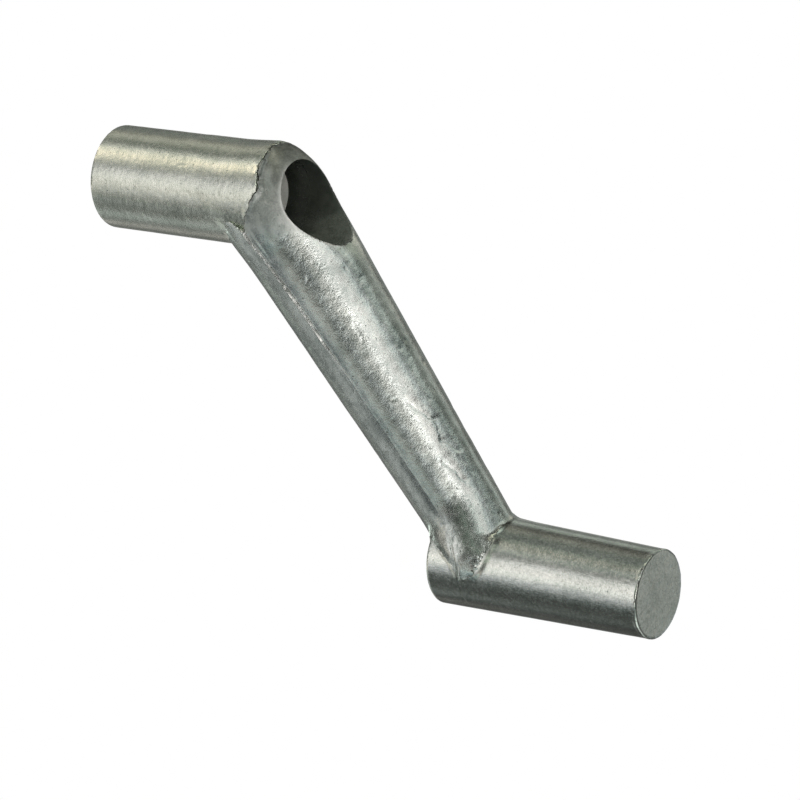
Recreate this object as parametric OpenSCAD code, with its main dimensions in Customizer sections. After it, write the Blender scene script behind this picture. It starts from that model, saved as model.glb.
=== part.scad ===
// Small cast Z-shaped crank handle.
// The hub axis is +X and the origin is the centre of the drive socket's mouth.
// The arm leans down (-Z) and away (+X) from the hub, and the grip runs parallel to the hub.
// The whole crank lies along the plane y = 0.

/* [Hub] */
// Outside diameter of the hub barrel
barrel_d = 16; // [15.6:0.1:16.6]
// Length of the barrel that shows, from the mouth to the shoulder of the arm's head
barrel_len = 30.5; // [30:0.1:31]
// Diameter of the counterbore that the retaining screw drops into
counterbore_d = 12; // [11.8:0.1:12.4]
// Diameter of the spigot that is pressed into the arm's head
spigot_d = 14.2; // [13.8:0.1:14.4]
// Length of that spigot
spigot_len = 1.4; // [1:0.1:1.8]

/* [Drive socket] */
// Diameter across the lands of the splined socket
socket_d = 8; // [7.6:0.1:8.4]
// Depth of the splined socket
socket_depth = 11.5; // [10:0.1:11.5]
// Number of spline grooves
spline_count = 12; // [6:1:12]
// Width of one spline groove
spline_w = 0.5; // [0.4:0.05:0.5]
// Depth of one spline groove below the lands
spline_depth = 0.5; // [0.4:0.05:0.7]
// Outside diameter of the pressed-in drive insert
insert_d = 11.6; // [11:0.1:11.7]
// Thickness of the insert's end wall
insert_wall = 2.35; // [2:0.05:2.35]

/* [Arm] */
// Distance from the mouth to the point where the arm's axis meets the hub axis
arm_x = 28.4; // [28:0.1:28.8]
// Horizontal distance that the arm covers between the hub axis and the grip axis
arm_run = 35.9; // [34:0.1:38]
// Throw: vertical distance between the hub axis and the grip axis
throw = 54.35; // [52:0.05:57]
// In-plane width of the arm at the hub axis
arm_top_w = 18; // [17:0.1:18.4]
// Thickness of the arm at the hub axis, across its flat plane of symmetry
arm_top_t = 16; // [15:0.1:16.2]
// In-plane width of the arm at the grip axis
arm_foot_w = 11.9; // [11:0.1:12.6]
// Thickness of the arm at the grip axis
arm_foot_t = 10.8; // [10:0.1:11.4]
// Diameter of the rounded head above the hub axis
head_d = 16.8; // [16.2:0.1:17]
// Distance from the mouth, along the crown flat's own normal, to that flat
crown_reach = 29.6; // [29.2:0.1:30.4]
// Tilt of the crown flat above the hub axis
crown_tilt = 41; // [36:1:46]

/* [Grip] */
// Distance from the mouth to the heel end of the grip
grip_x = 56.4; // [55.4:0.1:57]
// Overall length of the grip, heel included
grip_len = 36.05; // [34:0.05:40]
// Diameter of the grip at its heel
grip_heel_d = 14.84; // [14.4:0.02:15.2]
// Diameter of the grip at its free end
grip_tip_d = 13.4; // [12.8:0.1:14]
// Length of the heel, up to the seam ring
heel_len = 5.8; // [5.4:0.1:6.2]
// Diameter of the tenon on the arm's foot
tenon_d = 8.4; // [7.6:0.1:8.6]
// How far the tenon runs past the grip axis
tenon_past = 3.6; // [3:0.1:4]
// Diameter of the heel's locking pin
pin_d = 4.4; // [4:0.1:4.8]
// Length of the locking pin past the seam ring
pin_len = 14; // [10:0.5:18]

/* [Retaining screw] */
// Thread diameter of the screw
screw_d = 6; // [6:0.1:6]
// Thread pitch
screw_pitch = 1; // [0.75:0.25:1]
// Length of the shank under the head
shank_len = 10; // [8:1:10]
// Diameter of the cap head
cap_d = 10; // [9.5:0.1:10.2]
// Height of the cap head
cap_h = 6; // [5:0.5:6]
// Width across flats of the hexagon recess
hex_af = 5; // [4:0.5:5]
// Distance from the mouth to the head's outer face, with the screw backed out
cap_face_x = 28.5; // [28.4:0.1:28.6]

/* [Washers] */
// Outside diameter of the spring washer
spring_d = 11; // [10:0.1:11.4]
// Thickness of the spring washer
spring_t = 1.6; // [1.2:0.1:1.6]
// Outside diameter of the flat washer
flat_d = 11.5; // [11:0.1:11.6]
// Thickness of the flat washer
flat_t = 1; // [0.8:0.1:1]

/* [Hidden] */
$fn = 96;
cast_grey = [0.56, 0.57, 0.55];
turned_grey = [0.68, 0.68, 0.64];
steel_grey = [0.62, 0.62, 0.60];
plated_grey = [0.74, 0.74, 0.72];

// Fits and edges
fit_gap = 0.02;             // assembled fits that don't move
press_gap = 0.01;           // pressed fits of the insert and the spigot
insert_hole_gap = 0.3;      // around the screw, on the radius
spring_hole_gap = 0.1;
flat_hole_gap = 0.2;
chamfer = 0.4;              // barrel mouth and heel end
tip_chamfer = 0.35;         // free end of the grip
cut_past = 1;               // how far a cut runs beyond the face it opens

// Arm
arm_angle = atan2(throw, arm_run); // lean of the arm below the hub axis
arm_len = norm([arm_run, throw]);
body_above = 12;            // body's start, up the arm from the hub axis
body_short = 4;             // body's last slice, short of the grip axis
slice_t = 0.01;
tenon_root = 12;            // tenon's start, up the arm from the grip axis
crown_stop_z = -2;          // the crown flat cuts only above this height
shoulder_z = -2.2;          // the barrel's side of the arm is cleared above this height
shoulder_cut_h = 30;

// Cutting blocks, all larger than the arm
block_y = 40;
block_x = 110;
block_z = 80;
head_block = 60;
pin_hole_len = 30;

// Places along the hub axis
floor_x = socket_depth + insert_wall;
under_cap_x = cap_face_x - cap_h;
spring_x = under_cap_x - fit_gap - spring_t;
flat_x = spring_x - flat_t;
seam_x = grip_x + heel_len;
tip_x = grip_x + grip_len;

// Pin and its hole in the post
pin_root = 1;               // pin's start, inside the heel's end face
pin_end_gap = 0.1;

// Screw details
crest_gap = 0.05;           // crest below the nominal thread radius
thread_depth = 0.55;        // in pitches
plain_len = 2;              // shank length left without thread ridges
runout_len = 0.6;           // full-radius collar under the head
cap_under_chamfer = 0.2;
cap_chamfer = 0.45;
hex_depth = 3;

// Slanted split in the spring washer
split_size = [6, 0.5, 4];
split_z = 4.5;
split_angle = 25;

// Value part-way from start to end, where part runs from 0 to 1.
function taper(start, end, part) = start + (end - start) * part;

// Radius of the tapered grip at a distance x from the mouth.
function grip_radius(x) = taper(grip_heel_d, grip_tip_d, (x - grip_x) / grip_len) / 2;

// A cone that starts at x and runs along +X.
module cone_x(x, length, start_radius, end_radius) {
    translate([x, 0, 0])
        rotate([0, 90, 0])
            cylinder(h = length, r1 = start_radius, r2 = end_radius);
}

// A cylinder that starts at x and runs along +X.
module rod_x(x, length, radius) {
    cone_x(x, length, radius, radius);
}

// A solid turned about the X axis from a closed outline of [x, radius] points.
module turned_x(points) {
    rotate([0, 90, 0])
        rotate_extrude()
            polygon([for (point = points) [point[1], point[0]]]);
}

// Places its children on the arm's axis: local +Z runs down the arm from the hub axis.
module on_arm() {
    translate([arm_x, 0, 0])
        rotate([0, 90 + arm_angle, 0])
            children();
}

// Lowers its children from the hub axis to the grip axis.
module on_grip() {
    translate([0, 0, -throw])
        children();
}

// One thin oval slice of the arm, at a distance down its axis.
module arm_slice(distance) {
    part = distance / arm_len;
    translate([0, 0, distance])
        linear_extrude(slice_t)
            scale([taper(arm_top_w, arm_foot_w, part) / 2,
                   taper(arm_top_t, arm_foot_t, part) / 2])
                circle(r = 1);
}

// The arm's tapered oval body, longer at both ends than the part that is kept.
module arm_body() {
    on_arm()
        hull() {
            arm_slice(-body_above);
            arm_slice(arm_len - body_short);
        }
}

// The grip's full outline, heel included, grown by gap.
module grip_outline(gap) {
    on_grip()
        cone_x(grip_x - gap, grip_len + 2 * gap, grip_heel_d / 2 + gap, grip_tip_d / 2 + gap);
}

// The straight tenon on the arm's foot, grown by gap.
module tenon(gap) {
    on_arm()
        translate([0, 0, arm_len - tenon_root])
            cylinder(h = tenon_root + tenon_past + gap, r = tenon_d / 2 + gap);
}

// A block that fills the space below top_z.
module block_below(top_z) {
    translate([0, -block_y / 2, -block_z])
        cube([block_x, block_y, block_z + top_z]);
}

// What the arm may fill: the round head above the hub axis, everything below it,
// and nothing past the tilted flat on the crown.
module arm_limit() {
    intersection() {
        union() {
            rod_x(0, head_block, head_d / 2);
            block_below(0);
        }
        union() {
            rotate([0, -crown_tilt, 0])
                translate([crown_reach - head_block, -block_y / 2, -head_block])
                    cube([head_block, block_y, 2 * head_block]);
            block_below(crown_stop_z);
        }
    }
}

// A screw hole cut right through a washer that starts at x.
module washer_hole(x, thickness, gap) {
    rod_x(x - cut_past, thickness + 2 * cut_past, screw_d / 2 + gap);
}

module hub_barrel() {
    radius = barrel_d / 2;
    end_x = barrel_len + spigot_len;
    color(turned_grey)
        turned_x([
            [0, insert_d / 2],
            [floor_x, insert_d / 2],
            [floor_x, counterbore_d / 2],
            [end_x, counterbore_d / 2],
            [end_x, spigot_d / 2],
            [barrel_len, spigot_d / 2],
            [barrel_len, radius],
            [chamfer, radius],
            [0, radius - chamfer]]);
}

module drive_insert() {
    color(steel_grey) difference() {
        rod_x(0, floor_x, insert_d / 2 - press_gap);
        rod_x(-cut_past, socket_depth + cut_past, socket_d / 2);
        rod_x(0, floor_x + cut_past, screw_d / 2 + insert_hole_gap);
        for (i = [0 : spline_count - 1])
            rotate([i * 360 / spline_count, 0, 0])
                translate([-cut_past, -spline_w / 2, 0])
                    cube([socket_depth + cut_past, spline_w, socket_d / 2 + spline_depth]);
    }
}

module crank_arm() {
    color(cast_grey) difference() {
        union() {
            intersection() {
                arm_body();
                arm_limit();
            }
            tenon(0);
        }
        // seat for the barrel and its spigot
        rod_x(-cut_past, barrel_len + cut_past, barrel_d / 2 + fit_gap);
        rod_x(0, barrel_len + spigot_len + fit_gap, spigot_d / 2 + press_gap);
        translate([-cut_past, -block_y / 2, shoulder_z])
            cube([barrel_len + cut_past, block_y, shoulder_cut_h]);
        // way in for the screw
        rod_x(0, head_block, counterbore_d / 2);
        // saddle for the grip, with the tenon left standing
        difference() {
            grip_outline(fit_gap);
            tenon(0);
        }
        // cross hole for the heel's locking pin
        on_grip() rod_x(grip_x, pin_hole_len, pin_d / 2 + fit_gap);
    }
}

// The grip from the seam ring to its free end.
module grip_post() {
    color(cast_grey) difference() {
        on_grip() turned_x([
            [seam_x, 0],
            [seam_x, grip_radius(seam_x)],
            [tip_x - tip_chamfer, grip_radius(tip_x - tip_chamfer)],
            [tip_x, grip_tip_d / 2 - tip_chamfer],
            [tip_x, 0]]);
        tenon(fit_gap);
        on_grip()
            rod_x(seam_x - cut_past, pin_len + cut_past + pin_end_gap, pin_d / 2 + fit_gap);
    }
}

// The grip's heel, in one piece with its locking pin.
module grip_heel() {
    color(turned_grey) union() {
        difference() {
            on_grip() turned_x([
                [grip_x, 0],
                [grip_x, grip_heel_d / 2 - chamfer],
                [grip_x + chamfer, grip_radius(grip_x + chamfer)],
                [seam_x, grip_radius(seam_x)],
                [seam_x, 0]]);
            tenon(fit_gap);
        }
        on_grip() rod_x(grip_x + pin_root, heel_len - pin_root + pin_len, pin_d / 2);
    }
}

// Cap screw with its head towards +X; the thread is a row of separate ridges.
module retaining_screw() {
    crest = screw_d / 2 - crest_gap;
    root = crest - thread_depth * screw_pitch;
    cap_radius = cap_d / 2;
    end_x = under_cap_x - shank_len;
    ridges = floor((shank_len - plain_len) / screw_pitch);
    // one ridge: [place in pitches, radius]
    ridge = [[0.15, root], [0.65, crest]];
    last_root = 0.3; // in pitches, past the last ridge
    color(steel_grey) difference() {
        turned_x(concat(
            [[end_x, 0], [end_x, root]],
            [for (i = [0 : ridges - 1], point = ridge)
                [end_x + (i + point[0]) * screw_pitch, point[1]]],
            [[end_x + (ridges + last_root) * screw_pitch, root],
             [under_cap_x - runout_len, crest],
             [under_cap_x, crest],
             [under_cap_x, cap_radius - cap_under_chamfer],
             [under_cap_x + cap_under_chamfer, cap_radius],
             [cap_face_x - cap_chamfer, cap_radius],
             [cap_face_x, cap_radius - cap_chamfer],
             [cap_face_x, 0]]));
        // hexagon recess
        translate([cap_face_x - hex_depth, 0, 0])
            rotate([0, 90, 0])
                cylinder(h = hex_depth + cut_past, r = hex_af / 2 / cos(30), $fn = 6);
    }
}

module spring_washer() {
    color(plated_grey) difference() {
        rod_x(spring_x, spring_t, spring_d / 2);
        washer_hole(spring_x, spring_t, spring_hole_gap);
        translate([spring_x + spring_t / 2, 0, split_z])
            rotate([0, 0, split_angle])
                cube(split_size, center = true);
    }
}

module flat_washer() {
    color(plated_grey) difference() {
        rod_x(flat_x, flat_t, flat_d / 2);
        washer_hole(flat_x, flat_t, flat_hole_gap);
    }
}

hub_barrel();
drive_insert();
crank_arm();
grip_post();
grip_heel();
retaining_screw();
spring_washer();
flat_washer();
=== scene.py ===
"""A die-cast crank: hub barrel, arm and grip, with its insert, screw and washers.

The hub's axis is the X axis. The grip's axis is parallel to it, THROW below. The arm slopes
down towards +X between them, in the plane y = 0. Its crown side faces up and towards +X.
Lengths are in mm until a mesh is made. Fields are distances in mm, negative inside the metal.
"""
import itertools
import math

import bpy
import numpy as np
from mathutils import Matrix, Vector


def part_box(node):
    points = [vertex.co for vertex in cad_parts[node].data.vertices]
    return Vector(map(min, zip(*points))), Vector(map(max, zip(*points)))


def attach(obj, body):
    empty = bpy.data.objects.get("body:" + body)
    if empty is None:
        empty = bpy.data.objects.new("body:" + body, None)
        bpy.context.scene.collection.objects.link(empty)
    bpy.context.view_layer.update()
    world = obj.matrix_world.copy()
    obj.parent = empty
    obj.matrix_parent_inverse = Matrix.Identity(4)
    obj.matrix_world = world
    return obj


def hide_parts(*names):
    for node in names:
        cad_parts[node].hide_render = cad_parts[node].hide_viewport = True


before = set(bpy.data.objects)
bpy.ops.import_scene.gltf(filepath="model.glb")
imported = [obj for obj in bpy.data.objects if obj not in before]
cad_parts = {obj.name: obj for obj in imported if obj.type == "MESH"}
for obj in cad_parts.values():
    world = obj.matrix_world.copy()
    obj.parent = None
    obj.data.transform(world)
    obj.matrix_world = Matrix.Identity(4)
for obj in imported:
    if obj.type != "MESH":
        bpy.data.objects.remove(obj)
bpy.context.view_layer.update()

MM = 0.001


# ---------------------------------------------------------------- dimensions
def mm_box(node):
    return [np.array(corner) * 1000 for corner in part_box(node)]


barrel_hi = mm_box("hub_barrel")[1]
heel_lo = mm_box("grip_heel")[0]
post_lo, post_hi = mm_box("grip_post")
insert_hi = mm_box("drive_insert")[1]

R_HUB = barrel_hi[1]                 # barrel radius
X_SEAM = barrel_hi[0] - 1.4          # shoulder where the barrel meets the head
X_HEEL = heel_lo[0]                  # grip's heel end
X_TIP = post_hi[0]                   # grip's free end
X_RING = post_lo[0]                  # ring where the heel meets the post
R_HEEL = 7.42                        # grip radius at its heel
R_TIP = 6.70                         # grip radius at its free end
R_BORE = 6.0
R_SEAT = insert_hi[1] + 0.01         # bore radius around the insert
X_FLOOR = insert_hi[0]               # inner face of the insert's end wall
THROW = 54.35                        # hub axis to grip axis
RUN = 35.9                           # the arm's travel along X over the throw
Z_GRIP = -THROW
ARM_START = np.array([28.4, 0.0, 0.0])   # where the arm's axis crosses the hub's
ARM_L = math.hypot(RUN, THROW)
ARM_DIR = np.array([RUN, 0.0, -THROW]) / ARM_L
CROWN_DIR = np.array([-ARM_DIR[2], 0.0, ARM_DIR[0]])
ARM_RATIO = 0.908                    # thickness over width of the oval arm
R_ARM_HUB, R_ARM_GRIP = 9.0, 5.96
R_TENON = 4.2                        # the arm's hidden round end in the grip
R_PIN = 2.2                          # the heel's hidden pin in the post
R_SPIGOT = 6.8                       # the barrel's hidden collar in the head
FIT = 0.02                           # clearance around the hidden joints
RING_GAP = 0.008                     # half the gap at the ring
EDGE = 0.22                          # rounding of the barrel's and grip's end edges
HEAD_FLAT_X, HEAD_FLAT_TILT = 37.66, math.radians(30.6)
FOOT_MID, FOOT_HALF = 63.2, 6.7      # span along X that holds the foot

# shoulder: degrees about the hub axis (0 at -Y, 90 at +Z), mm past X_SEAM
SHOULDER = (
    [-180, -157, -135, -120, -100, -76, -60, -40, -22.7, -11, 2.9, 14.3,
     23.3, 31, 38, 51, 60, 76, 90, 110, 130, 150, 165, 180],
    [-.5, -1.4, -.6, 0, 0, 0, -.2, -.9, -1.39, -1.08, -.47, .5,
     1.0, .95, .62, .5, .45, .25, .2, .3, .5, .8, .3, -.5])
# foot on the grip's sides: degrees above the grip axis, x of its two sides and its crease
FOOT_HEEL_SIDE = ([3, 5, 16.8, 20.2, 24.8, 33.6, 45, 60],
                  [61.9, 61.8, 61.3, 60.6, 59.6, 58.1, 56.3, 54.8])
FOOT_TIP_SIDE = ([3, 11.7, 27, 44.3, 63.7, 100], [63.7, 64.3, 65.0, 66.0, 66.8, 66.8])
FOOT_CREASE = ([-5, 5, 22.8, 39.7, 54.5], [62.18, 61.94, 61.79, 60.9, 59.4])
# line where the arm's flank dies into the barrel's side: x, z
FLANK = ([20.0, 23.9, 25.5, 26.7, 28.0, 29.1, 30.5],
         [-1.35, -1.48, -1.62, -1.98, -2.7, -3.3, -3.9])
# where the flash runs on the arm's sides: mm along the arm, offset towards the crown
PARTING = ([3.3, 6.9, 12.3, 16.7, 24.7, 38.6, 50, 57.4],
           [-1.33, -1.04, -0.6, -0.31, -0.1, 0.35, 0.5, 0.45])
# flow lines where the metal met itself in the mould:
# start along the arm, start arc from the side, end along, end arc, depth, seed
FLOW = [
    (29.0, 10.3, 34.2, 9.9, 0.04, 30),
    (37.2, 5.6, 42.4, 7.9, 0.11, 31),
    (41.0, 8.2, 45.6, 7.2, 0.08, 35),
    (44.6, 7.2, 48.0, 8.6, 0.10, 32),
    (47.0, 5.1, 52.6, 6.9, 0.12, 33),
    (47.6, 8.2, 54.6, 8.9, 0.05, 34),
    (20.0, 5.0, 27.0, 5.6, 0.05, 36),
    (11.0, 3.0, 16.0, 4.2, 0.04, 37),
]


# ---------------------------------------------------------------- noise and blends
def lattice(cell, seed):
    """A fixed value in -1..1 for each whole-numbered cell corner."""
    key = (cell[..., 0] * 374761393 + cell[..., 1] * 668265263 + cell[..., 2] * 2147483647
           + seed * 1274126177) & 0xFFFFFFFF
    key = ((key ^ (key >> 13)) * 1274126177) & 0xFFFFFFFF
    key = ((key ^ (key >> 16)) * 2246822519) & 0xFFFFFFFF
    return ((key ^ (key >> 15)) & 0xFFFFFF) / float(0xFFFFFF) * 2 - 1


def noise(pts, size, seed):
    """Smooth value noise in -1..1 with the given feature size in mm."""
    scaled = np.asarray(pts, float) / size
    cell = np.floor(scaled)
    part = scaled - cell
    part = part * part * part * (part * (part * 6 - 15) + 10)
    cell = cell.astype(np.int64)
    total = 0.0
    for corner in itertools.product((0, 1), repeat=3):
        in_x, in_y, in_z = [part[..., i] if corner[i] else 1 - part[..., i] for i in range(3)]
        total = total + in_x * in_y * in_z * lattice(cell + np.array(corner), seed)
    return total


def two_noise(pts, size, seed):
    """Two octaves of noise, the second half the size and strength."""
    return (noise(pts, size, seed) + 0.5 * noise(pts, size / 2, seed + 17)) / 1.5


def smooth(start, end, value):
    ramp = np.clip((value - start) / (end - start), 0, 1)
    return ramp * ramp * (3 - 2 * ramp)


def bell(offset, width):
    return np.exp(-(offset / width) ** 2)


def join(one, two, width):
    """Union with a blend of the given width."""
    part = np.clip(0.5 + 0.5 * (two - one) / width, 0, 1)
    return two + (one - two) * part - width * part * (1 - part)


def common(one, two, radius):
    """Intersection with a rounded edge."""
    corner = np.sqrt(np.maximum(one + radius, 0) ** 2 + np.maximum(two + radius, 0) ** 2)
    return np.minimum(-radius, np.maximum(one, two)) + corner


def cut(body, tool):
    return np.maximum(body, -tool)


# ---------------------------------------------------------------- coordinates
def xyz(pts):
    return pts[..., 0], pts[..., 1], pts[..., 2]


def on_line(dist, second=0.0):
    """Points that vary along one direction only, for noise along a line."""
    zero = dist * 0
    return np.stack([dist, zero + second, zero], -1)


def arm_coords(pts):
    """Distance along the arm, and from its axis towards the crown."""
    rel = pts - ARM_START
    return rel @ ARM_DIR, rel @ CROWN_DIR


def arm_frame(pts):
    """Grid coordinates (along the arm, across it, towards the crown) to the crank's frame."""
    across = np.array([0.0, 1.0, 0.0])
    return ARM_START + pts[..., 0:1] * ARM_DIR + pts[..., 1:2] * across + pts[..., 2:3] * CROWN_DIR


def hub_r(pts):
    return np.sqrt(pts[..., 1] ** 2 + pts[..., 2] ** 2)


def grip_r(pts):
    return np.sqrt(pts[..., 1] ** 2 + (pts[..., 2] - Z_GRIP) ** 2)


def hub_angle(pts):
    """Radians about the hub axis, 0 at -Y and a quarter turn at +Z."""
    return np.arctan2(pts[..., 2], -pts[..., 1])


def grip_angle(pts):
    """Degrees above the grip axis, the same on both sides."""
    return np.degrees(np.arctan2(pts[..., 2] - Z_GRIP, np.abs(pts[..., 1])))


turn = np.linspace(-np.pi, np.pi, 1441)


def circle(radius):
    return np.stack([np.cos(turn) * radius, np.sin(turn) * radius, np.zeros_like(turn)], -1)


shoulder_line = X_SEAM + np.interp(np.degrees(turn), *SHOULDER)
rim = circle(8)
jag = 0.20 * noise(rim, 1.5, 5) + 0.24 * noise(rim, 0.8, 9) + 0.14 * noise(rim, 0.42, 13)
seam_line = shoulder_line + jag
rim = circle(7.3)
ring_line = X_RING + 0.10 * noise(rim, 2.6, 21) + 0.06 * noise(rim, 0.8, 22)


def seam_x(pts):
    """The jagged seam between barrel and head."""
    return np.interp(hub_angle(pts), turn, seam_line)


def shoulder_x(pts):
    """The same seam without its jags."""
    return np.interp(hub_angle(pts), turn, shoulder_line)


def ring_x(pts):
    return np.interp(np.arctan2(pts[..., 2] - Z_GRIP, -pts[..., 1]), turn, ring_line)


# ---------------------------------------------------------------- outside of the casting
def arm_radius(along):
    return R_ARM_HUB + (R_ARM_GRIP - R_ARM_HUB) * along / ARM_L


def arm_section(pts):
    """Oval arm, rounder on the crown side, slightly peaked at its sides on the other."""
    along, rise = arm_coords(pts)
    y = pts[..., 1]
    # wider by the hub, and near the grip on the -Y side
    swell = 0.27 * smooth(53.0, 62.5, along) * smooth(66.0, 64.0, along) * smooth(0.5, -2.5, y)
    ratio = ARM_RATIO + 0.045 * (1 - smooth(2.0, 9.0, along)) + swell
    y = y / ratio
    crown = np.sqrt(rise * rise + y * y)
    under = (np.abs(rise / 1.06) ** 1.8 + np.abs(y) ** 1.8) ** (1 / 1.8)
    # by the barrel the underside is a plain oval, a little fuller
    near = 1 - smooth(3, 12, along)
    under = under + (np.sqrt(rise * rise + (y / 1.02) ** 2) - under) * near
    side = smooth(-0.25, 0.25, rise)
    return crown * side + under * (1 - side) - arm_radius(along)


def above_hub(pts):
    """Height above the barrel, which flares a little towards the head on its upper side."""
    x, y, z = xyz(pts)
    flare = np.clip((x - 22.6) / 9.0, 0, 1)
    flare = flare * flare * (1.6 - 0.6 * flare)
    upper = smooth(-0.1, 1.2, np.arctan2(z, np.abs(y)))
    return hub_r(pts) - (R_HUB + 0.5 * flare * upper)


def above_grip(pts):
    """Height above the tapered grip."""
    slope = (R_TIP - R_HEEL) * (pts[..., 0] - X_HEEL) / (X_TIP - X_HEEL)
    return grip_r(pts) - (R_HEEL + slope)


def head_field(pts):
    """Arm and head: the oval cone, held to a cap over the hub and cut by a sloping flat."""
    x, y, z = xyz(pts)
    cone = arm_section(pts)
    cap_radius = R_HUB + 0.57 * np.clip((x - 23.24) / 8.34, 0, 1)
    cap = np.where(z > 0, hub_r(pts), np.abs(y)) - cap_radius
    crown = smooth(1.0, 6.0, z)
    head = -join(-cone, -cap, 0.9) * (1 - crown) + common(cone, cap, 4.0) * crown
    along, _ = arm_coords(pts)
    flat = (x - HEAD_FLAT_X) * math.cos(HEAD_FLAT_TILT) + z * math.sin(HEAD_FLAT_TILT)
    flat = flat - 0.3 * np.maximum(along - 7, 0)
    head = common(head, flat, 1.8)
    # the far end of the cone stops inside the grip
    return np.maximum(head, along - (ARM_L + 3.0))


def barrel_field(pts):
    x = pts[..., 0]
    # the barrel ends earlier on the +Y side
    short = 1.6 * smooth(-2.0, 3.0, pts[..., 1])
    barrel = common(above_hub(pts), x - shoulder_x(pts) - 0.35 + short, 0.35)
    return common(barrel, -x, EDGE)


def grip_field(pts):
    mid, half = (X_HEEL + X_TIP) / 2, (X_TIP - X_HEEL) / 2
    return common(above_grip(pts), np.abs(pts[..., 0] - mid) - half, EDGE)


def foot_inset(pts):
    """Positive inside the outline of the foot that carries the arm down the grip's sides."""
    x = pts[..., 0]
    angle = grip_angle(pts)
    heel_side, tip_side = np.interp(angle, *FOOT_HEEL_SIDE), np.interp(angle, *FOOT_TIP_SIDE)
    inset = np.minimum(x - heel_side, tip_side - x) + 0.07 * noise(pts, 1.1, 141)
    return np.minimum(inset, np.minimum((angle - 2.5) * 0.09, (80 - angle) * 0.09))


def foot(pts):
    """The foot itself: two shallow facets that meet near the crease."""
    x = pts[..., 0]
    angle = grip_angle(pts)
    heel_side, tip_side = np.interp(angle, *FOOT_HEEL_SIDE), np.interp(angle, *FOOT_TIP_SIDE)
    height = join(0.42 * (x - heel_side), 0.34 * (tip_side - x), 0.25)
    height = join(height, 0.7, 0.3)
    height = height * (1 - smooth(48, 72, angle)) - 1.0 * smooth(58, 78, angle)
    height = np.clip(height, -1.0, 1.0)
    height = height + 0.05 * noise(pts, 1.4, 142) + 0.03 * noise(pts, 0.6, 143)
    height = np.minimum(height, (angle - 1.0) * 0.25)
    crease = np.interp(angle, *FOOT_CREASE)
    height = height - 0.20 * bell(x - crease, 0.20) * (1 - smooth(40, 60, angle))
    return np.maximum(above_grip(pts) - height, np.abs(x - FOOT_MID) - FOOT_HALF)


def outer(pts):
    """The whole casting's outside."""
    _, rise = arm_coords(pts)
    x, _, z = xyz(pts)
    # the blend with the barrel is wider at mid height
    barrel_blend = 0.3 + 0.5 * smooth(-4.0, -1.5, z) * (1 - smooth(5.5, 7.5, z))
    body = join(head_field(pts), barrel_field(pts), barrel_blend)
    # the blend with the foot fades out over the top of the grip
    upward = (z - Z_GRIP) / np.maximum(grip_r(pts), 1e-6)
    foot_blend = 1.4 * smooth(52.4, 56.4, x) * (1 - smooth(0.75, 0.95, upward)) + 0.01
    body = join(body, foot(pts), foot_blend)
    crown = smooth(-1.6, 1.4, rise) * smooth(X_RING - 0.8, X_RING + 1.2, x)
    return join(body, grip_field(pts), 0.18 + 0.45 * crown)


# ---------------------------------------------------------------- openings and hidden joints
def bore(pts):
    x, y, _ = xyz(pts)
    radius = hub_r(pts)
    narrow = 0.28 * smooth(2.5, 5.5, y) * smooth(33, 34.5, x)
    main = np.maximum(radius - R_BORE + narrow, X_FLOOR - x)
    seat = np.maximum(radius - R_SEAT, x - X_FLOOR - 0.05)
    return np.minimum(main, np.maximum(seat, -x - 1))


def tenon(pts, gap=0.0):
    along, rise = arm_coords(pts)
    ends = np.maximum(along - ARM_L - 3.6 - gap, ARM_L - 12 - along)
    return np.maximum(np.sqrt(rise * rise + pts[..., 1] ** 2) - R_TENON - gap, ends)


def heel_pin(pts, gap=0.0):
    x = pts[..., 0]
    ends = np.maximum(X_HEEL + 1 - x, x - (X_RING + 14 + gap))
    return np.maximum(grip_r(pts) - R_PIN - gap, ends)


def spigot(pts, gap=0.0):
    ends = np.abs(pts[..., 0] - X_SEAM + 2.0) - 2.8 - gap
    return np.maximum(hub_r(pts) - R_SPIGOT - gap, ends)


def grip_zone(pts, gap):
    """The grip's own space: grown by gap, less a shallow seat under the arm's foot."""
    above = above_grip(pts)
    cylinder = np.maximum(above - gap, X_HEEL - pts[..., 0])
    return np.maximum(cylinder, np.minimum(foot_inset(pts), above + 0.7) + 0.12 - gap)


def barrel_side(pts):
    """Positive where the barrel owns the space: before the seam and above the arm's flank."""
    x, _, z = xyz(pts)
    return np.minimum(seam_x(pts) - x, z - np.interp(x, *FLANK))


# ---------------------------------------------------------------- the four pieces as fields
def barrel_piece(pts):
    beyond_seam = pts[..., 0] - seam_x(pts) + 0.09
    body = common(outer(pts), np.maximum(above_hub(pts) - 0.10, beyond_seam), 0.16)
    return cut(np.minimum(body, spigot(pts)), bore(pts))


def arm_piece(pts):
    x, y, _ = xyz(pts)
    body = common(outer(pts), -bore(pts), 0.04 + 0.10 * smooth(1.0, -3.0, y))
    above = above_hub(pts) - 0.12
    body = common(body, np.minimum(seam_x(pts) + 0.05 - x, -above), 0.14)
    body = common(body, barrel_side(pts) + 0.03, 0.14)
    body = common(body, -grip_zone(pts, 0.13), 0.03)
    body = cut(body, spigot(pts, FIT))
    body = cut(body, np.maximum(hub_r(pts) - R_BORE, -x))
    in_grip = np.maximum(above_grip(pts) - 1.0, X_HEEL - x)
    body = np.minimum(body, np.maximum(tenon(pts), in_grip))
    return cut(body, heel_pin(pts, FIT))


def grip_side(pts, past_ring):
    """The grip on one side of the ring, with the arm's tenon cut out."""
    body = common(outer(pts), grip_zone(pts, 0.11), 0.02)
    ring_round = 0.012 + 0.06 * smooth(-8, 4, grip_angle(pts))
    return cut(common(body, past_ring, ring_round), tenon(pts, FIT))


def post_piece(pts):
    return cut(grip_side(pts, ring_x(pts) + RING_GAP - pts[..., 0]), heel_pin(pts, FIT))


def heel_piece(pts):
    return np.minimum(grip_side(pts, pts[..., 0] - ring_x(pts) + RING_GAP), heel_pin(pts))


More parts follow.
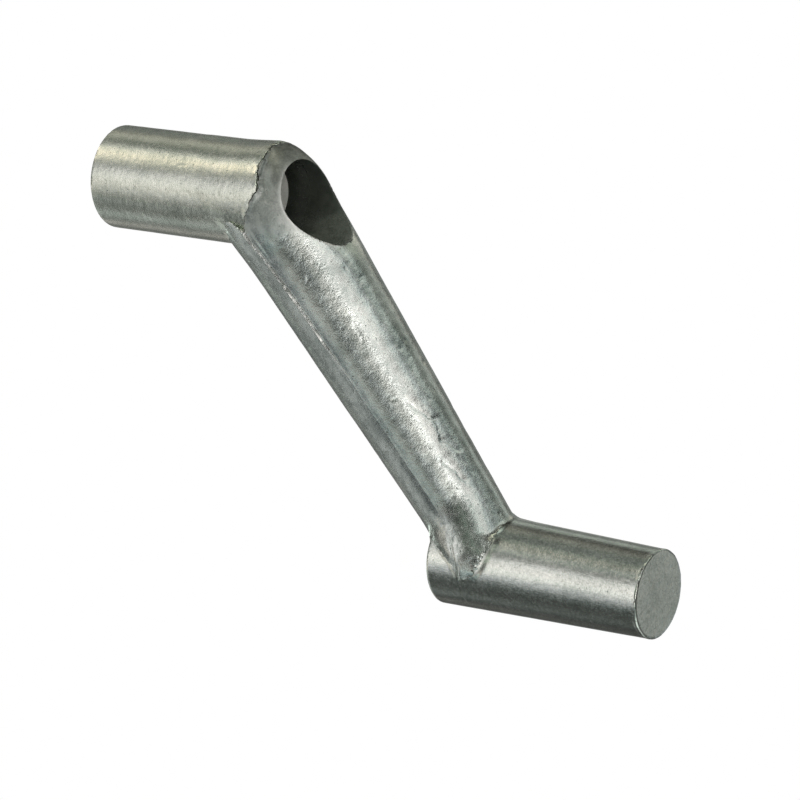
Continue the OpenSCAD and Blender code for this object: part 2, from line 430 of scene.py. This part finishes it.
# ---------------------------------------------------------------- dual contouring on a grid
def gradient(field, pts):
    reach = 0.01
    slope = np.empty_like(pts)
    for axis in range(3):
        delta = np.zeros(3)
        delta[axis] = reach
        slope[..., axis] = (field(pts + delta) - field(pts - delta)) / (2 * reach)
    return slope


def normals_of(field, pts):
    slope = gradient(field, pts)
    return slope / np.maximum(np.linalg.norm(slope, axis=1, keepdims=True), 1e-9)


def axis_grid(low, high, step, fine):
    """Grid lines, closer together inside each (centre, half width, step) of fine."""
    lines, place = [low], low
    while place < high:
        gap = step
        for centre, half, fine_step in fine:
            dist = abs(place - centre)
            if dist < half:
                gap = min(gap, fine_step)
            elif dist < half + 1.0:
                gap = min(gap, fine_step + (step - fine_step) * (dist - half))
        place += gap
        lines.append(place)
    return np.array(lines)


def sample(field, grid, to_world):
    """The field at every grid point, a slab at a time to save memory."""
    values = np.empty([len(lines) for lines in grid])
    plane_y, plane_z = np.meshgrid(grid[1], grid[2], indexing="ij")
    slab = max(1, int(400000 / plane_y.size))
    for start in range(0, len(grid[0]), slab):
        slab_x = grid[0][start:start + slab, None, None]
        pts = np.stack(np.broadcast_arrays(slab_x, plane_y[None], plane_z[None]), -1)
        values[start:start + slab] = field(to_world(pts))
    values[np.abs(values) < 1e-9] = 1e-9
    return values


def crossings(field, to_world, start, end, start_value, end_value):
    """Where grid edges cross the surface, by a few false-position steps."""
    part = start_value / (start_value - end_value)
    low, high = np.zeros_like(part), np.ones_like(part)
    low_value, high_value = start_value, end_value
    for _ in range(3):
        value = field(to_world(start + part[:, None] * (end - start)))
        same = (value < 0) == (low_value < 0)
        low, low_value = np.where(same, part, low), np.where(same, value, low_value)
        high, high_value = np.where(same, high, part), np.where(same, high_value, value)
        drop = low_value - high_value
        drop = np.where(np.abs(drop) < 1e-12, 1e-12, drop)
        part = np.clip(low + (high - low) * low_value / drop, low, high)
    return to_world(start + part[:, None] * (end - start))


def fit_vertices(hits, normals, owner, count, cell_size):
    """One vertex per cell, as near as possible to the tangent planes of its crossings."""
    tally = np.bincount(owner, minlength=count).astype(float)
    centre = np.stack([np.bincount(owner, hits[:, i], count) for i in range(3)], -1)
    centre = centre / tally[:, None]
    dist = (normals * (hits - centre[owner])).sum(1)
    matrix = np.zeros((count, 3, 3))
    target = np.zeros((count, 3))
    for i in range(3):
        for j in range(i, 3):
            entry = np.bincount(owner, normals[:, i] * normals[:, j], count)
            matrix[:, i, j] = matrix[:, j, i] = entry
        target[:, i] = np.bincount(owner, normals[:, i] * dist, count)
    matrix[:, [0, 1, 2], [0, 1, 2]] += (0.04 * tally)[:, None]
    shift = np.linalg.solve(matrix, target[..., None])[..., 0]
    length = np.linalg.norm(shift, axis=1)
    limit = 0.75 * cell_size.max(1)
    return centre + shift * np.minimum(1, limit / np.maximum(length, 1e-9))[:, None]


def contour(field, grid, to_world):
    """Closed quad mesh of field = 0. to_world turns grid coordinates into the crank's frame."""
    values = sample(field, grid, to_world)
    inside = values < 0
    dims = np.array(values.shape) - 1
    hits, normals, cells, quads = [], [], [], []
    for axis in range(3):
        sides = [(axis + 1) % 3, (axis + 2) % 3]
        before, after = [slice(None)] * 3, [slice(None)] * 3
        before[axis], after[axis] = slice(0, -1), slice(1, None)
        start = np.argwhere(inside[tuple(before)] != inside[tuple(after)])
        start = start[((start[:, sides] > 0) & (start[:, sides] < dims[sides])).all(1)]
        end = start.copy()
        end[:, axis] += 1
        start_value, end_value = values[tuple(start.T)], values[tuple(end.T)]
        start_at, end_at = [
            np.stack([grid[i][index[:, i]] for i in range(3)], -1) for index in (start, end)]
        hit = crossings(field, to_world, start_at, end_at, start_value, end_value)
        normal = normals_of(field, hit)
        quad = []
        for shift in ((-1, -1), (0, -1), (0, 0), (-1, 0)):
            cell = start.copy()
            cell[:, sides] += shift
            quad.append(np.ravel_multi_index(tuple(cell.T), tuple(dims)))
            hits.append(hit)
            normals.append(normal)
            cells.append(quad[-1])
        quad = np.stack(quad, -1)
        quads.append(np.where((start_value < 0)[:, None], quad, quad[:, ::-1]))
    used, owner = np.unique(np.concatenate(cells), return_inverse=True)
    place = np.unravel_index(used, tuple(dims))
    cell_size = np.stack([np.diff(grid[i])[place[i]] for i in range(3)], -1)
    verts = fit_vertices(
        np.concatenate(hits), np.concatenate(normals), owner, len(used), cell_size)
    for _ in range(2):                          # settle onto the surface, never far
        value = field(verts)
        slope = gradient(field, verts)
        steepness = np.maximum((slope * slope).sum(1), 0.25)
        verts = verts - slope * np.clip(value / steepness, -0.05, 0.05)[:, None]
    return verts, np.searchsorted(used, np.concatenate(quads))


def relax(verts, quads, field):
    """Evens out the quads on smooth ground; vertices on edges stay."""
    count = len(verts)
    edges = np.concatenate([quads[:, [i, (i + 1) % 4]] for i in range(4)])
    first, second = edges.T
    links = np.bincount(edges.ravel(), minlength=count).astype(float)

    def neighbour_mean(values):
        total = [np.bincount(first, values[second, i], count)
                 + np.bincount(second, values[first, i], count) for i in range(3)]
        return np.stack(total, -1) / links[:, None]

    for _ in range(2):
        normal = normals_of(field, verts)
        around = neighbour_mean(normal)
        flat = np.clip((np.linalg.norm(around, axis=1) - 0.97) / 0.03, 0, 1)
        flat = flat * np.clip(((around * normal).sum(1) - 0.97) / 0.03, 0, 1)
        shift = neighbour_mean(verts) - verts
        shift -= normal * (shift * normal).sum(1)[:, None]
        verts = verts + shift * (0.5 * flat)[:, None]
        verts = verts - normal * np.clip(field(verts), -0.05, 0.05)[:, None]
    return verts


# ---------------------------------------------------------------- surface relief, heights in mm
def cast_waves(pts):
    """Waves and pits of the raw casting, calmer up at the head."""
    height = 0.040 * two_noise(pts, 7.0, 101) + 0.013 * two_noise(pts, 2.2, 102)
    height = height + 0.007 * noise(pts, 0.8, 103)
    patches = smooth(-0.1, 0.5, noise(pts, 4.0, 105))
    height -= 0.07 * smooth(0.62, 0.9, noise(pts, 0.75, 104)) * patches
    return (0.2 + 0.8 * smooth(-3.0, -9.0, pts[..., 2])) * height


def flash_line(along):
    line = on_line(along)
    return np.interp(along, *PARTING) + 0.10 * noise(line, 2.3, 110) + 0.05 * noise(line, 0.8, 111)


def flash_height(along, rise):
    """Flash line where the two halves of the mould met."""
    tall = 0.27 * (1 - smooth(17, 34, along)) + 0.04
    tall = tall * (0.95 + 0.2 * noise(on_line(along), 2.0, 112))
    tall = tall * smooth(0.8, 2.4, along) * (1 - smooth(55, 59, along))
    return tall * bell(rise - flash_line(along), 0.21)


def lip_height(pts):
    """Torn lip along the shoulder."""
    angle = np.degrees(hub_angle(pts))
    lip = 1.3 * bell(angle - 28, 6) + 0.9 * bell(angle - 60, 7) + 0.25
    past = pts[..., 0] - seam_x(pts)
    height = np.exp(-np.maximum(past, 0) / 0.28) * lip * (0.08 + 0.10 * noise(pts, 0.6, 115))
    return height * smooth(1.4, 0.6, past) * smooth(-4, -2, pts[..., 2])


def arm_skin(pts):
    along, rise = arm_coords(pts)
    x, y, _ = xyz(pts)
    height = cast_waves(pts)
    height += flash_height(along, rise)
    height += lip_height(pts)
    arc = arm_radius(along) * np.arctan2(rise, np.abs(y) / ARM_RATIO)
    far = np.where(y < 0, 0.0, 1.0)             # the +Y side has its own, shifted lines
    for along_0, arc_0, along_1, arc_1, depth, seed in FLOW:
        part = (along - along_0) / (along_1 - along_0)
        line = arc_0 + (arc_1 - arc_0) * part - far * 2.1
        wander = on_line(along + 40 * far, seed)
        line = line + 0.45 * noise(wander, 2.6, seed) + 0.25 * noise(wander, 1.0, seed + 40)
        fade = smooth(-0.02, 0.15, part) * (1 - smooth(0.85, 1.02, part))
        off = arc - line
        height -= depth * fade * np.where(off > 0, np.exp(-off / 0.9), 0.25 * np.exp(off / 0.25))
    # calm where the skin runs out into the thin edge by the bore on the +Y side
    thin = (1 - smooth(0.1, 1.5, hub_r(pts) - R_BORE)) * smooth(-2, 0.5, y) * smooth(30, 32, x)
    return height * (1 - thin)


def hub_skin(pts):
    x, _, z = xyz(pts)
    height = 0.014 * two_noise(pts, 5.0, 121)
    rings = pts * np.array([1, 0.15, 0.15])
    height += (0.004 * noise(rings, 0.45, 122) + 0.008 * noise(rings, 1.7, 123)
               + 0.006 * noise(pts, 0.5, 127))
    before = seam_x(pts) - x
    height += np.exp(-np.maximum(before, 0) / 0.7) * (0.07 * noise(pts, 0.8, 124) + 0.01)
    height -= 0.03 * smooth(0.7, 0.95, noise(pts, 0.6, 125))    # pits
    # the line where the arm's flank dies into the barrel
    above = z - np.interp(x, *FLANK) - 0.12 * noise(pts, 1.5, 126)
    swell = 0.07 * smooth(0.0, -0.5, above) * np.exp(np.minimum(above, 0) / 2.5)
    height += smooth(20.0, 24.5, x) * (swell - 0.03 * bell(above, 0.25))
    return height


def grip_skin(pts):
    streaks = pts * np.array([0.25, 1, 1])
    height = 0.012 * two_noise(pts, 5.0, 131) + 0.006 * noise(streaks, 0.5, 132)
    patches = smooth(0.0, 0.6, noise(pts, 3.0, 134))
    height -= 0.04 * smooth(0.7, 0.95, noise(pts, 0.6, 133)) * patches
    # raised rim at the free end
    height += bell(pts[..., 0] - X_TIP + 0.25, 0.22) * (0.05 + 0.06 * noise(pts, 0.9, 135))
    return height


def add_relief(verts, field, skin):
    """Moves outside vertices out by the skin's height; inside ones stay."""
    normal = normals_of(field, verts)
    x = verts[:, 0]
    outside = 1 - smooth(0.10, 0.25, np.abs(outer(verts)))
    on_barrel = smooth(7.3, 7.6, hub_r(verts)) * (x < seam_x(verts) + 0.1) * (x < 32)
    outside = np.maximum(outside, on_barrel)
    return verts + normal * (skin(verts) * outside)[:, None], outside


# ---------------------------------------------------------------- meshes
def shading_masks(verts, outside, is_arm):
    """Point attributes that the materials read."""
    x, y, z = xyz(verts)
    along, rise = arm_coords(verts)
    # painted shade inside the bore: lighter towards its mouth and lower down
    painted_bore_light = smooth(30, 38, x) * smooth(-2.0, -6.0, z) + 0.6 * smooth(33, 40, x)
    # painted highlight along the flash ridge on the arm's sides
    edge_highlight = bell(rise - flash_line(along), 0.28) * smooth(0.8, 2.0, along)
    edge_highlight = edge_highlight * (1 - smooth(22, 36, along)) * is_arm
    # painted highlight on the bore's rim, on the -Y side only
    rim_highlight = bell(hub_r(verts) - R_BORE, 0.25) * (x > 31) * smooth(0.0, -3.0, y) * is_arm
    return {
        "outside": outside,
        "painted_bore_light": 0.25 + 0.75 * np.clip(painted_bore_light, 0, 1),
        "edge_highlight": np.maximum(edge_highlight, 0.8 * rim_highlight),
        "calm": smooth(-5.0, 0.0, z) * smooth(28, 29, x),
    }


def add_mesh(name, verts, quads, masks):
    mesh = bpy.data.meshes.new(name)
    loops = quads.size
    mesh.vertices.add(len(verts))
    mesh.vertices.foreach_set("co", (verts * MM).astype(np.float32).ravel())
    mesh.loops.add(loops)
    mesh.loops.foreach_set("vertex_index", quads.astype(np.int32).ravel())
    mesh.polygons.add(len(quads))
    mesh.polygons.foreach_set("loop_start", np.arange(0, loops, 4, dtype=np.int32))
    mesh.polygons.foreach_set("use_smooth", np.ones(len(quads), bool))
    mesh.update(calc_edges=True)
    mesh.validate()
    mesh.set_sharp_from_angle(angle=math.radians(38))
    for key, values in masks.items():
        attribute = mesh.attributes.new(key, "FLOAT", "POINT")
        attribute.data.foreach_set("value", np.asarray(values, np.float32))
    obj = bpy.data.objects.new(name, mesh)
    bpy.context.scene.collection.objects.link(obj)
    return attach(obj, "crank")


def piece(name, field, low, high, step, node, material, skin,
          to_world=lambda pts: pts, fine=((), (), ())):
    """Meshes one piece of the casting inside the box from low to high."""
    grid = [axis_grid(low[i], high[i], step, fine[i]) for i in range(3)]
    verts, quads = contour(field, grid, to_world)
    verts = relax(verts, quads, field)
    verts, outside = add_relief(verts, field, skin)
    masks = shading_masks(verts, outside, is_arm=node == "crank_arm")
    obj = add_mesh(name, verts, quads, masks)
    obj.data.materials.append(material)
    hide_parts(node)


# ---------------------------------------------------------------- materials
def add_node(tree, kind, inputs, **settings):
    """A shader node with its settings, and its inputs set or linked."""
    node = tree.nodes.new("ShaderNode" + kind)
    for key, value in settings.items():
        setattr(node, key, value)
    for key, value in inputs.items():
        if isinstance(value, bpy.types.NodeSocket):
            tree.links.new(value, node.inputs[key])
        else:
            node.inputs[key].default_value = value
    return node


def rgb(red, green, blue):
    return (red, green, blue, 1.0)


class Net:
    """Short-hand for a material's nodes, with sizes in mm."""

    def __init__(self, name):
        self.mat = bpy.data.materials.new(name)
        self.mat.use_nodes = True
        self.mat.node_tree.nodes.clear()
        coords = self.add("TexCoord", {}).outputs["Object"]
        self.place = self.add(
            "VectorMath", {0: coords, "Scale": 1000}, operation="SCALE").outputs[0]

    def add(self, kind, inputs, **settings):
        return add_node(self.mat.node_tree, kind, inputs, **settings)

    def math(self, operation, first, second):
        return self.add("Math", {0: first, 1: second}, operation=operation).outputs[0]

    def times(self, first, second):
        return self.math("MULTIPLY", first, second)

    def weighted(self, *pairs):
        """Sum of (source, weight) pairs."""
        terms = [self.times(source, weight) for source, weight in pairs]
        total = terms[0]
        for term in terms[1:]:
            total = self.math("ADD", total, term)
        return total

    def squeeze(self, scale):
        return self.add("VectorMath", {0: self.place, 1: scale}, operation="MULTIPLY").outputs[0]

    def noise(self, size, detail, rough, vector=None, distort=0.0):
        """0..1 noise with features about size mm across."""
        return self.add("TexNoise", {
            "Vector": vector or self.place, "Scale": 1.0 / size, "Detail": detail,
            "Roughness": rough, "Distortion": distort}).outputs["Fac"]

    def painted_glints(self, size, low):
        """Scattered painted glints about size mm across; a higher low gives fewer."""
        cells = self.add("TexVoronoi", {"Vector": self.place, "Scale": 1.0 / size})
        return self.step(cells.outputs["Color"], low=low, high=1.0)

    def step(self, value, low, high, out_low=0.0, out_high=1.0):
        inputs = {0: value, 1: low, 2: high, 3: out_low, 4: out_high}
        return self.add("MapRange", inputs, interpolation_type="SMOOTHSTEP").outputs[0]

    def mix(self, factor, base, over):
        return self.add("Mix", {0: factor, 6: base, 7: over}, data_type="RGBA").outputs[2]

    def tint(self, base, mask, amount, over):
        return self.mix(self.times(mask, amount), base, over)

    def attr(self, name):
        return self.add("Attribute", {}, attribute_name=name).outputs["Fac"]

    def inside(self):
        """Painted shade for the inside faces: near black, lighter towards the mouth of the bore.
        """
        mottle = self.step(self.noise(size=1.4, detail=3, rough=0.6),
                           low=0.25, high=0.75, out_low=0.6, out_high=1.3)
        light = self.times(self.attr("painted_bore_light"), mottle)
        return self.mix(light, rgb(0.022, 0.028, 0.021), rgb(0.15, 0.17, 0.145))

    def finish(self, color, metallic, roughness, height, depth):
        """Principled surface with a bump depth mm deep."""
        bump = self.add("Bump", {"Strength": 1.0, "Distance": depth * MM, "Height": height})
        surface = self.add("BsdfPrincipled", {
            "Base Color": color, "Metallic": metallic, "Roughness": roughness,
            "Normal": bump.outputs[0]})
        self.add("OutputMaterial", {0: surface.outputs[0]})
        return self.mat


def cast_metal(name, light, dark, grain, rough):
    """Blotchy grey die-cast zinc with a fine grain, painted glints, and a painted highlight along
    the flash and the bore's rim; duller at the head.
    """
    net = Net(name)
    big = net.noise(size=6.0, detail=3, rough=0.6)
    mid = net.noise(size=1.3, detail=4, rough=0.65)
    fine = net.noise(size=0.28, detail=3, rough=0.6)
    color = net.mix(net.step(net.weighted((big, 0.5), (mid, 0.5)), low=0.36, high=0.64),
                    dark, light)
    calm = net.attr("calm")
    dull = net.mix(net.step(net.weighted((fine, 0.5), (mid, 0.5)), low=0.40, high=0.60),
                   rgb(0.22, 0.235, 0.215), rgb(0.40, 0.42, 0.39))
    color = net.tint(color, calm, amount=0.75, over=dull)
    # painted glints: bright specks
    color = net.tint(color, net.painted_glints(size=0.30, low=0.86), amount=0.35,
                     over=rgb(0.92, 0.91, 0.87))
    pits = net.step(net.noise(size=0.55, detail=2, rough=0.5), low=0.66, high=0.80)
    color = net.tint(color, pits, amount=0.55, over=rgb(0.10, 0.105, 0.10))
    # painted highlight along the flash ridge and the bore's rim
    color = net.tint(color, net.attr("edge_highlight"), amount=0.7, over=rgb(0.96, 0.95, 0.92))
    outside = net.attr("outside")
    # inside faces get the painted shade colour
    color = net.mix(outside, net.inside(), color)
    roughness = net.math("ADD", net.weighted((fine, 0.22), (mid, 0.18)), rough - 0.2)
    roughness = net.math("ADD", roughness, net.times(calm, 0.20))
    height = net.math("SUBTRACT", net.weighted((fine, 0.6), (mid, 1.0)), net.times(pits, 0.8))
    return net.finish(color, metallic=net.times(outside, 0.9), roughness=roughness,
                      height=height, depth=grain)


def grained_metal(name, light, dark, squeeze, rough):
    """Dressed cast metal: a fine even mottle with short scratches, smoother and brighter."""
    net = Net(name)
    lines = net.noise(size=0.20, detail=3, rough=0.6, vector=net.squeeze(squeeze))
    mottle = net.noise(size=0.55, detail=4, rough=0.7)
    speck = net.noise(size=0.22, detail=2, rough=0.6)
    big = net.noise(size=5.0, detail=3, rough=0.6)
    blend = net.weighted((mottle, 0.5), (big, 0.3), (lines, 0.2))
    color = net.mix(net.step(blend, low=0.38, high=0.62), dark, light)
    # painted glints: warm bright specks
    color = net.tint(color, net.painted_glints(size=0.26, low=0.88), amount=0.5,
                     over=rgb(0.97, 0.94, 0.87))
    pits = net.step(net.noise(size=0.40, detail=2, rough=0.5), low=0.64, high=0.78)
    color = net.tint(color, pits, amount=0.45, over=rgb(0.12, 0.125, 0.115))
    # short scratches in two directions
    for stretch, size in (((0.35, 2.2, 1.0), 0.315), ((1.9, 0.45, 1.3), 0.455)):
        scratch = net.noise(size=size, detail=1, rough=0.5, vector=net.squeeze(stretch),
                            distort=0.6)
        color = net.tint(color, net.step(scratch, low=0.70, high=0.76), amount=0.3,
                         over=rgb(0.92, 0.90, 0.84))
    outside = net.attr("outside")
    # inside faces get the painted shade colour
    color = net.mix(outside, net.inside(), color)
    roughness = net.math("ADD", net.weighted((mottle, 0.18), (speck, 0.14)), rough - 0.16)
    height = net.math("SUBTRACT", net.weighted((lines, 0.4), (speck, 0.8), (mottle, 1.0)),
                      net.times(pits, 0.6))
    return net.finish(color, metallic=net.times(outside, 0.92), roughness=roughness,
                      height=height, depth=0.016)


def steel(name, light, dark, rough, squeeze=(1, 1, 1), metal=1.0):
    net = Net(name)
    fine = net.noise(size=0.35, detail=4, rough=0.7, vector=net.squeeze(squeeze))
    big = net.noise(size=2.5, detail=3, rough=0.6)
    blend = net.times(net.math("ADD", fine, big), 0.5)
    color = net.mix(net.step(blend, low=0.38, high=0.62), dark, light)
    roughness = net.math("ADD", net.times(fine, 0.2), rough - 0.1)
    return net.finish(color, metallic=metal, roughness=roughness, height=fine, depth=0.02)


hub_metal = grained_metal("zinc_hub", light=rgb(0.73, 0.76, 0.66), dark=rgb(0.50, 0.54, 0.46),
                          squeeze=(1, 0.12, 0.12), rough=0.25)
grip_metal = grained_metal("zinc_grip", light=rgb(0.71, 0.74, 0.67), dark=rgb(0.48, 0.52, 0.46),
                           squeeze=(0.15, 1, 1), rough=0.20)
arm_metal = cast_metal("zinc_cast", light=rgb(0.67, 0.71, 0.66), dark=rgb(0.40, 0.44, 0.41),
                       grain=0.04, rough=0.25)
# painted light: the screw is near white and not metallic so that its face shows bright deep in the
# bore
screw_painted_bright = steel("steel_screw_painted_light", light=rgb(0.98, 0.99, 0.91), dark=rgb(0.80, 0.81, 0.74),
                    rough=0.55, metal=0.0)
insert_steel = steel("steel_insert", light=rgb(0.55, 0.55, 0.54), dark=rgb(0.36, 0.36, 0.36),
                     rough=0.42, squeeze=(1, 0.2, 0.2))
washer_steel = steel("steel_washer", light=rgb(0.58, 0.57, 0.53), dark=rgb(0.40, 0.40, 0.38),
                     rough=0.4)

# ---------------------------------------------------------------- build the pieces
STEP = 0.24
ARM_STEP = STEP * 1.08
piece("hub_barrel_cast", barrel_piece, low=(-0.67, -9, -9), high=(33, 9, 9), step=STEP,
      node="hub_barrel", material=hub_metal, skin=hub_skin,
      fine=(((30.6, 1.6, STEP * 0.6),), (), ()))
piece("crank_arm_cast", arm_piece, low=(-14.03, -8.9, -12.02), high=(70, 8.9, 13), step=ARM_STEP,
      node="crank_arm", material=arm_metal, skin=arm_skin, to_world=arm_frame,
      fine=(((5.0, 4.0, ARM_STEP * 0.7),), ((5.7, 0.8, ARM_STEP * 0.6),),
            ((0.0, 0.9, ARM_STEP * 0.7), (6.8, 1.6, ARM_STEP * 0.75))))
piece("grip_post_cast", post_piece, low=(59.03, -8.5, -63), high=(93.5, 8.5, -46), step=STEP,
      node="grip_post", material=grip_metal, skin=grip_skin)
piece("grip_heel_cast", heel_piece, low=(55.53, -8.5, -63), high=(78, 8.5, -46), step=STEP,
      node="grip_heel", material=grip_metal, skin=grip_skin)

for part_name, metal in (("drive_insert", insert_steel), ("retaining_screw", screw_painted_bright),
                         ("spring_washer", washer_steel), ("flat_washer", washer_steel)):
    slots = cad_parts[part_name].data.materials
    slots.clear()
    slots.append(metal)


# ---------------------------------------------------------------- camera
def add_camera(azimuth, elevation, roll, distance, target):
    """Camera on the -Y side, azimuth degrees round towards +X, looking at target."""
    azimuth, elevation, roll = [math.radians(angle) for angle in (azimuth, elevation, roll)]
    back = np.array([math.sin(azimuth) * math.cos(elevation),
                     -math.cos(azimuth) * math.cos(elevation), math.sin(elevation)])
    right = np.array([math.cos(azimuth), math.sin(azimuth), 0.0])
    up = np.cross(back, right)
    pose = np.eye(4)
    pose[:3, 0] = math.cos(roll) * right + math.sin(roll) * up
    pose[:3, 1] = -math.sin(roll) * right + math.cos(roll) * up
    pose[:3, 2] = back
    pose[:3, 3] = (np.array(target) + back * distance) * MM
    lens = bpy.data.cameras.new("view")
    lens.sensor_width = 36
    lens.lens = 155.18
    lens.clip_start, lens.clip_end = 0.02, 20
    camera = bpy.data.objects.new("view", lens)
    bpy.context.scene.collection.objects.link(camera)
    camera.matrix_world = Matrix(pose.tolist())
    bpy.context.scene.camera = camera


add_camera(azimuth=35.805, elevation=20.910, roll=-5.080, distance=519.432,
           target=(49.080, 0.0, -30.153))

# ---------------------------------------------------------------- light, backdrop and floor
# soft lights: azimuth from +X towards +Y, elevation, tightness, red, green, blue
SOFT_LIGHTS = [
    (125.8, -20.9, 20, .42, .43, .42), (100.0, -4.5, 60, .30, .31, .30),
    (121.0, -6.0, 60, .15, .155, .15), (13.3, -66.4, 12, .50, .50, .50),
    (-71.7, -58.2, 20, .40, .40, .40), (178.5, 4.8, 25, .70, .70, .68),
    (-19.2, -48.6, 25, .35, .35, .35), (-45.1, 10.8, 90, 5.371, 5.124, 5.141),
    (-143.6, -25.2, 90, .714, .759, .772), (-117.7, 7.8, 90, 1.044, 1.086, 1.098),
    (-127.1, 27.4, 90, 1.046, 1.034, 1.106), (54.1, -17.9, 90, .665, .669, .643),
    (-122.4, 17.3, 90, 1.201, 1.045, 1.087), (-120.6, -7.2, 90, .549, .617, .736),
    (143.1, 39.1, 90, .645, .618, .553), (-14.4, 36.0, 90, 1.786, 1.690, 1.627),
    (-166.6, -46.6, 90, .590, .645, .656), (-29.7, 22.8, 90, 1.685, 1.442, 1.475),
    (-68.1, -6.4, 90, 1.844, 1.811, 1.935), (-140.6, -9.5, 90, 1.270, 1.182, 1.079),
    (-164.3, 40.2, 90, 2.352, 1.896, 1.471), (-2.0, 31.7, 90, .908, 1.032, 1.081),
    (-103.5, -20.5, 90, .541, .749, .812), (-158.9, -38.8, 90, .589, .587, .581),
    (-60.4, -0.7, 90, 2.087, 1.997, 1.841), (30.4, 30.2, 90, .676, .784, .790),
    (-176.7, 45.0, 90, .943, .933, 1.008), (161.0, -44.6, 90, .761, .740, .731),
    (-44.0, -50.1, 9, .825, .945, .932), (-34.5, 33.4, 90, 1.240, 1.432, 1.370),
    (120.2, 19.3, 90, .583, .623, .585), (-84.1, 52.9, 90, 3.932, 3.983, 3.779),
    (80.0, 14.8, 90, 1.219, 1.167, 1.052), (48.7, 74.6, 90, 3.728, 3.577, 2.849),
    (-95.8, -14.5, 90, .477, .449, .413), (-144.3, 43.1, 90, .515, .530, .530),
    (-156.7, 48.2, 90, .429, .411, .381), (-169.1, 53.8, 90, .473, .502, .434),
    (-125.3, 2.0, 90, .647, .546, .513), (71.3, -32.1, 90, .478, .541, .551),
    (64.7, 3.1, 90, .919, 1.027, 1.018), (150.8, 47.0, 90, .293, .315, .289),
    (25.7, 41.6, 90, .725, .703, .607), (-130.1, 11.4, 90, .391, .415, .411),
    (171.6, -19.9, 90, 2.398, 2.620, 2.472), (133.7, 72.7, 90, 1.067, 1.192, 1.127),
    (-108.2, -10.8, 90, .323, .209, .134), (-119.5, 34.0, 90, .386, .335, .349),
    (62.9, 28.6, 90, .706, .746, .625), (-142.5, 15.0, 90, .496, .522, .557),
    (38.1, 37.0, 90, 1.026, 1.026, .964), (-107.1, 29.8, 90, .501, .634, .483),
    (5.6, 38.8, 90, .633, .596, .614), (-116.5, 55.2, 90, .420, .461, .400),
    (55.2, 22.2, 90, .165, .179, .171), (-75.7, -12.2, 90, .671, .787, .787),
    (78.9, -25.5, 90, .416, .420, .502), (140.2, 21.7, 90, .312, .332, .339),
    (-151.9, 35.7, 90, .158, .180, .167), (178.5, 60.3, 90, .081, .100, .094),
    (-74.6, 28.3, 90, .338, .419, .338), (-37.4, 16.7, 90, .153, .153, .153),
    (-136.6, 51.6, 90, .097, .124, .135), (147.9, 28.0, 90, .094, .053, .038),
]
WHITE = rgb(1, 1, 1)


def light_world():
    """The soft lights for the part, plain white for the camera."""
    world = bpy.data.worlds.new("studio")
    bpy.context.scene.world = world
    world.use_nodes = True
    tree = world.node_tree
    tree.nodes.clear()
    toward = add_node(tree, "TexCoord", {}).outputs["Generated"]
    total = (0, 0, 0)
    for azimuth, elevation, tight, *color in SOFT_LIGHTS:
        azimuth, elevation = math.radians(azimuth), math.radians(elevation)
        aim = (math.cos(elevation) * math.cos(azimuth),
               math.cos(elevation) * math.sin(azimuth), math.sin(elevation))
        facing = add_node(tree, "VectorMath", {0: toward, 1: aim}, operation="DOT_PRODUCT")
        falloff = add_node(tree, "Math", {0: facing.outputs["Value"], 1: tight, 2: -tight},
                           operation="MULTIPLY_ADD")
        glow = add_node(tree, "Math", {0: falloff.outputs[0]}, operation="EXPONENT")
        total = add_node(tree, "VectorMath", {0: glow.outputs[0], 1: color, 2: total},
                         operation="MULTIPLY_ADD").outputs[0]
    seen = add_node(tree, "LightPath", {}).outputs["Is Camera Ray"]
    studio = add_node(tree, "Background", {0: total, 1: 1.0})
    backdrop = add_node(tree, "Background", {0: WHITE, 1: 1.0})
    chosen = add_node(tree, "MixShader", {0: seen, 1: studio.outputs[0], 2: backdrop.outputs[0]})
    add_node(tree, "OutputWorld", {0: chosen.outputs[0]})


def add_floor(half, z):
    """White glowing floor, in metres, that neither lights nor shades the part."""
    material = bpy.data.materials.new("pale_floor")
    material.use_nodes = True
    tree = material.node_tree
    tree.nodes.clear()
    glow = add_node(tree, "Emission", {0: WHITE, 1: 1.0})
    add_node(tree, "OutputMaterial", {0: glow.outputs[0]})
    mesh = bpy.data.meshes.new("floor")
    corners = [(-half, -half, z), (half, -half, z), (half, half, z), (-half, half, z)]
    mesh.from_pydata(corners, [], [(0, 1, 2, 3)])
    floor = bpy.data.objects.new("floor", mesh)
    mesh.materials.append(material)
    bpy.context.scene.collection.objects.link(floor)
    floor.visible_glossy = False
    floor.visible_diffuse = False
    floor.visible_shadow = False


light_world()
add_floor(half=1.5, z=-0.16)
bpy.context.scene.view_settings.view_transform = "Standard"
bpy.context.scene.view_settings.look = "None"
